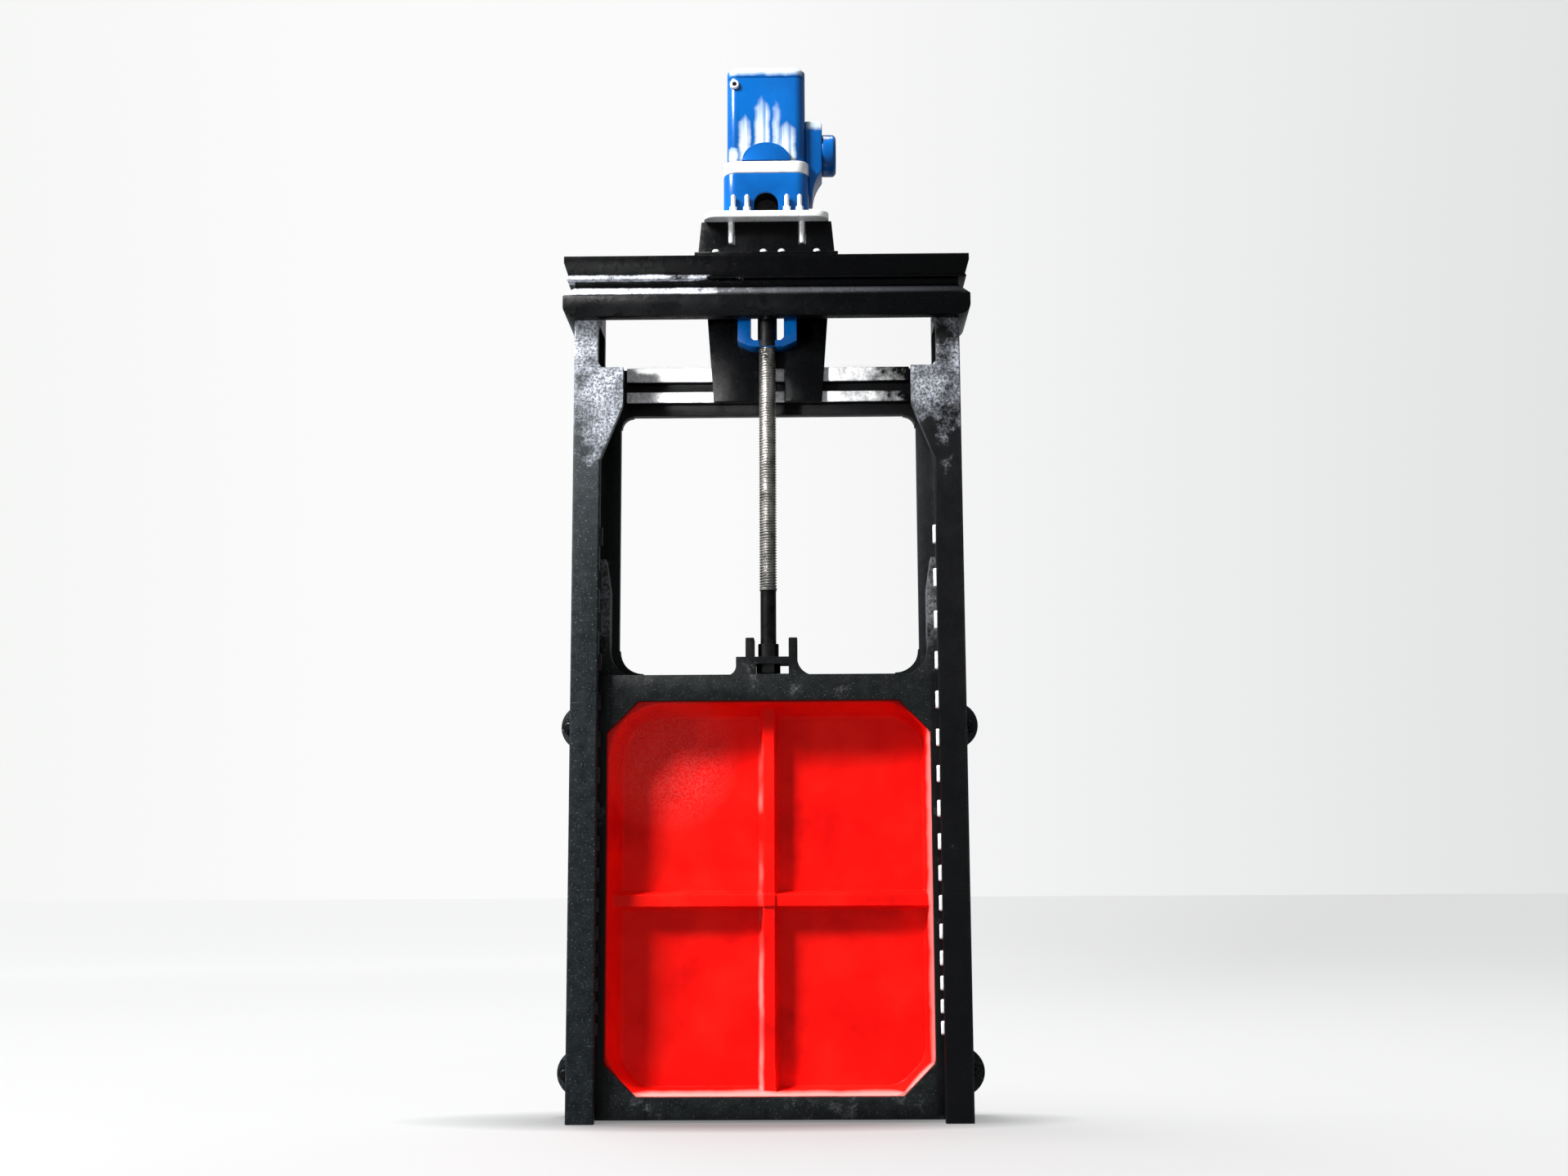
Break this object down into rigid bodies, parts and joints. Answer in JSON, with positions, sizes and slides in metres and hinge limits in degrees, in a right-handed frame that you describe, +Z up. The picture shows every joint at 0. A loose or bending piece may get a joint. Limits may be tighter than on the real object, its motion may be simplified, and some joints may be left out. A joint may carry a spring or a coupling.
{
  "type": "sluice gate",
  "caption": "Wall-mounted cast sluice gate: ribbed red leaf on a rising stem slides up in black guide rails, driven by a blue actuator on the crosshead.",
  "frame": {"origin": "on the wall plane at the back of the frame, on the centre line, at foot level", "axes": "+Z up along the stem, +Y into the wall, +X to the right seen from the front"},
  "size_m": [1.0596, 0.22, 2.668],
  "materials": {
    "cast_black": "rough cast surface under semi-gloss black paint",
    "leaf_red": "glossy red enamel over a casting",
    "actuator_blue": "high-gloss blue paint",
    "plated_steel": "bright machined and plated steel",
    "stem_steel": "greased trapezoidal thread above a plain blackened shank",
    "dark_steel": "blackened steel",
    "bronze": "machined bronze"
  },
  "bodies": {
    "frame": {"base_flange": "plated_steel", "breast_plate": "cast_black", "crosshead": "cast_black", "drive_nut": "bronze", "gear_housing": "actuator_blue", "guide_bush": "dark_steel", "joint_ring": "plated_steel", "left_guide_rail": "cast_black", "left_port_jamb": "cast_black", "left_tie_plate": "cast_black", "pedestal": "cast_black", "right_guide_rail": "cast_black", "right_port_jamb": "cast_black", "right_tie_plate": "cast_black", "seat_strip_bottom": "bronze", "seat_strip_left": "bronze", "seat_strip_right": "bronze", "seat_strip_top": "bronze", "side_cap": "actuator_blue", "side_housing": "actuator_blue", "sill_plate": "cast_black", "stem_guide": "actuator_blue", "tie_beam": "cast_black", "top_cap": "actuator_blue", "upper_housing": "actuator_blue"},
    "leaf": {"leaf_frame": "cast_black", "leaf_panel": "leaf_red", "stem": "stem_steel", "stem_nut": "dark_steel", "stem_collar": "dark_steel"}
  },
  "joints": [
    {"name": "leaf_lift", "type": "slide", "parent": "frame", "child": "leaf", "axis": [0, 0, 1], "range_m": [0, 0.59]}
  ]
}
